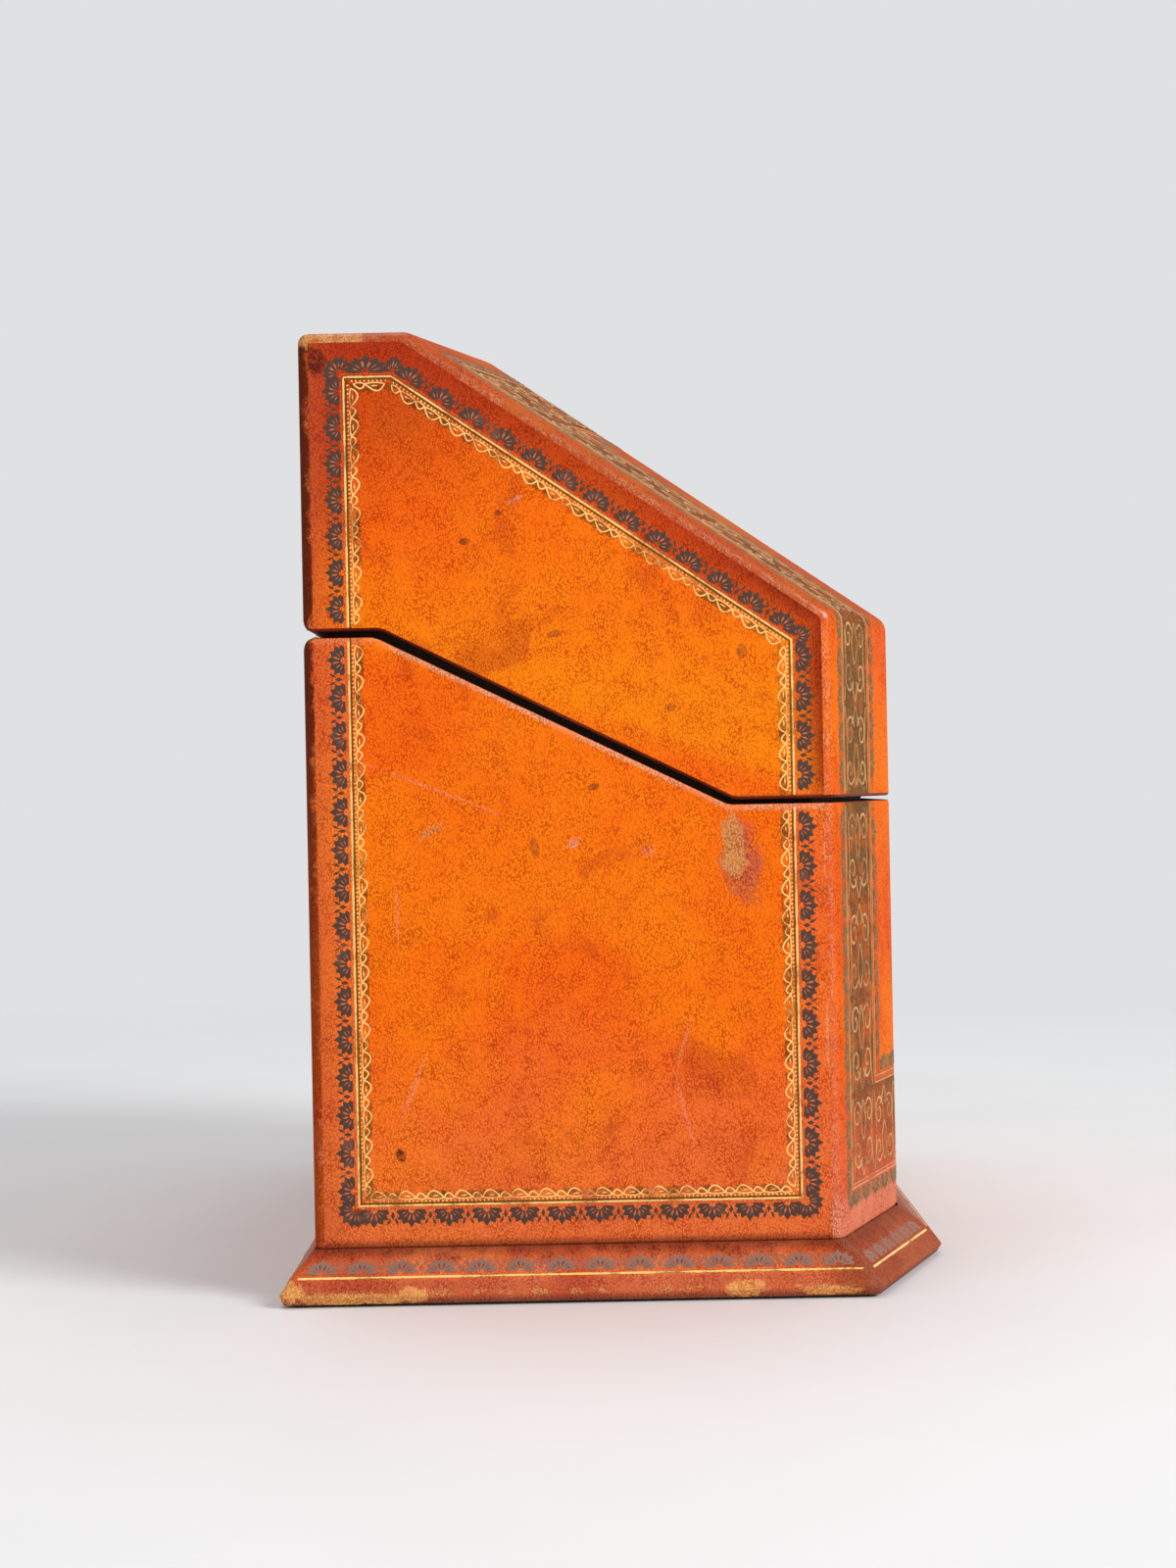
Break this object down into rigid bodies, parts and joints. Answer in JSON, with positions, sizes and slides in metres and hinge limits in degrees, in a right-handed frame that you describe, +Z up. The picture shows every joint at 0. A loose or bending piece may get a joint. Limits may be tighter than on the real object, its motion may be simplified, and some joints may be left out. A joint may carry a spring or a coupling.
{
  "type": "stationery box",
  "caption": "Slope-fronted leather-covered box for writing paper: a back-hinged lid over stepped compartments, slanted front faces and a moulded plinth.",
  "frame": {"origin": "middle of the plinth's outline, on the surface it stands on", "axes": "+Z up, the slanted front faces -Y, +X across the box to the right as seen from the front"},
  "size_m": [0.245, 0.1558, 0.22],
  "materials": {
    "leather": "glazed calf, orange-brown, blind-tooled borders and gilt lines, worn",
    "plinth_leather": "glazed calf, red-brown, rubbed through at the edges",
    "wood": "plain sawn softwood, unpolished",
    "lining": "ribbed silk, dull sheen",
    "divider_card": "board covered in embossed paper, satin",
    "baize": "felted wool",
    "brass": "satin, slightly dulled"
  },
  "bodies": {
    "box": {"base_board": "wood", "base_baize": "baize", "plinth_leather": "plinth_leather", "plinth_left_moulding": "wood", "plinth_front_left_moulding": "wood", "plinth_front_centre_moulding": "wood", "plinth_front_right_moulding": "wood", "plinth_right_moulding": "wood", "plinth_back_moulding": "wood", "box_floor": "wood", "box_back_wall": "wood", "box_left_wall": "wood", "box_right_wall": "wood", "box_front_left_wall": "wood", "box_front_centre_wall": "wood", "box_front_right_wall": "wood", "box_left_leather": "leather", "box_right_leather": "leather", "box_front_leather": "leather", "box_back_leather": "leather", "box_lining": "lining", "box_floor_lining": "lining", "divider_back": "divider_card", "divider_middle": "divider_card", "divider_front": "divider_card", "hinge_left_box_leaf": "brass", "hinge_left_box_screw_1": "brass", "hinge_left_box_screw_2": "brass", "hinge_left_pin": "brass", "hinge_right_box_leaf": "brass", "hinge_right_box_screw_1": "brass", "hinge_right_box_screw_2": "brass", "hinge_right_pin": "brass"},
    "lid": {"lid_back_wall": "wood", "lid_left_wall": "wood", "lid_right_wall": "wood", "lid_top_board": "wood", "lid_slope_left": "wood", "lid_slope_centre": "wood", "lid_slope_right": "wood", "lid_front_left": "wood", "lid_front_centre": "wood", "lid_front_right": "wood", "lid_left_leather": "leather", "lid_right_leather": "leather", "lid_back_leather": "leather", "lid_top_leather": "leather", "lid_lining": "lining", "hinge_left_lid_leaf": "brass", "hinge_left_lid_screw_1": "brass", "hinge_left_lid_screw_2": "brass", "hinge_right_lid_leaf": "brass", "hinge_right_lid_screw_1": "brass", "hinge_right_lid_screw_2": "brass"}
  },
  "joints": [
    {"name": "lid_hinge", "type": "hinge", "parent": "box", "child": "lid", "pos_m": [0, 0.0704, 0.1514], "axis": [-1, 0, 0], "range_deg": [0, 100]}
  ]
}
